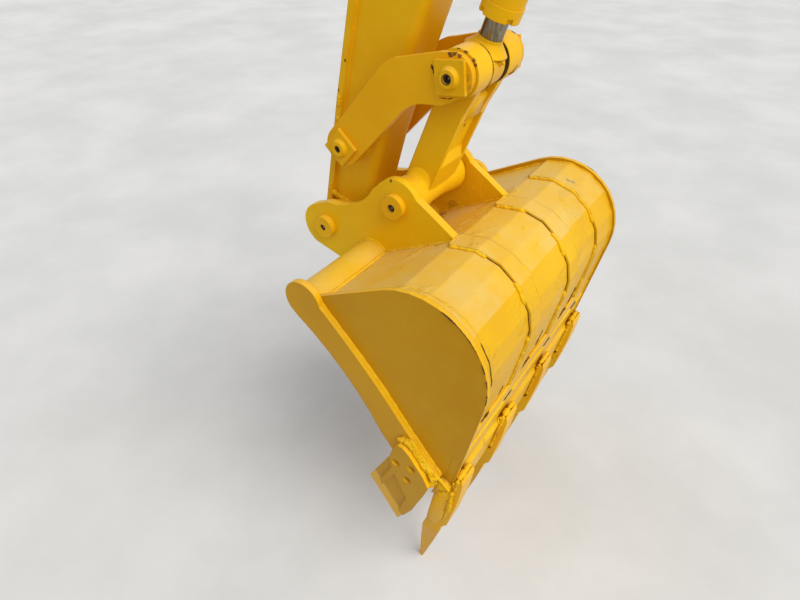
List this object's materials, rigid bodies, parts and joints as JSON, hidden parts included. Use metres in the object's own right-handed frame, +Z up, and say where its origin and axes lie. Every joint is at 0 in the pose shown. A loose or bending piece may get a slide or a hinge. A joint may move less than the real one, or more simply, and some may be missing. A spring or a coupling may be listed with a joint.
{
  "type": "excavator dipper arm with bucket linkage and bucket",
  "caption": "Dipper arm of a crawler excavator with curling digging bucket, guide links, push link and bucket cylinder.",
  "frame": {"origin": "centre of the boom pin bore at the top of the arm", "axes": "+X away from the machine, +Z up, pins along Y; the arm hangs and the teeth touch the ground"},
  "size_m": [0.7632, 0.832, 2.7833],
  "materials": {
    "paint": "semi-gloss yellow paint",
    "rod_chrome": "polished"
  },
  "bodies": {
    "arm": {"arm_box": "paint", "arm_under_plate": "paint", "nose_boss": "paint", "guide_boss": "paint", "boom_boss": "paint", "rear_bracket": "paint", "cylinder_bracket": "paint", "cylinder_base_pin": "paint"},
    "bucket": {"bucket_shell": "paint", "side_plate_right": "paint", "side_plate_left": "paint", "side_bar_right": "paint", "side_bar_left": "paint", "torque_tube": "paint", "ear_right": "paint", "ear_left": "paint", "lip_plate": "paint", "heel_plate": "paint", "wear_straps": "paint", "adapters": "paint", "teeth": "paint", "side_cutter_right": "paint", "side_cutter_left": "paint", "bucket_pin": "paint", "link_pins": "paint"},
    "guide_links": {"guide_link_right": "paint", "guide_link_left": "paint", "guide_pin": "paint", "top_pin": "paint"},
    "push_link": {"push_link": "paint"},
    "cylinder_barrel": {"cylinder_barrel": "paint", "cylinder_gland": "paint", "barrel_eye": "paint"},
    "cylinder_rod": {"cylinder_rod": "rod_chrome", "rod_eye": "paint"}
  },
  "joints": [
    {"name": "bucket_curl", "type": "hinge", "parent": "arm", "child": "bucket", "pos_m": [-0.33266, 0, -1.56504], "axis": [0, 1, 0], "range_deg": [-10, 165]},
    {"name": "guide_link_swing", "type": "hinge", "parent": "arm", "child": "guide_links", "pos_m": [-0.2813, 0, -1.34746], "axis": [0, 1, 0], "range_deg": [-7.76, 112.59]},
    {"name": "push_link_swing", "type": "hinge", "parent": "guide_links", "child": "push_link", "pos_m": [0.00295, 0, -1.1424], "axis": [0, 1, 0], "range_deg": [-53.65, 4.19]},
    {"name": "cylinder_swing", "type": "hinge", "parent": "arm", "child": "cylinder_barrel", "pos_m": [0.30747, 0, -0.26573], "axis": [0, 1, 0], "range_deg": [-2, 2]},
    {"name": "rod_slide", "type": "slide", "parent": "cylinder_barrel", "child": "cylinder_rod", "axis": [-0.3281, 0, -0.9446], "range_m": [-0.0371, 0.5817]}
  ],
  "couplings": [
    {"joint": "guide_link_swing", "follows": "bucket_curl", "ratio": 0.6763},
    {"joint": "push_link_swing", "follows": "bucket_curl", "ratio": -0.3191},
    {"joint": "cylinder_swing", "follows": "bucket_curl", "ratio": 0.0019},
    {"joint": "rod_slide", "follows": "bucket_curl", "m_per_rad": 0.20131}
  ]
}
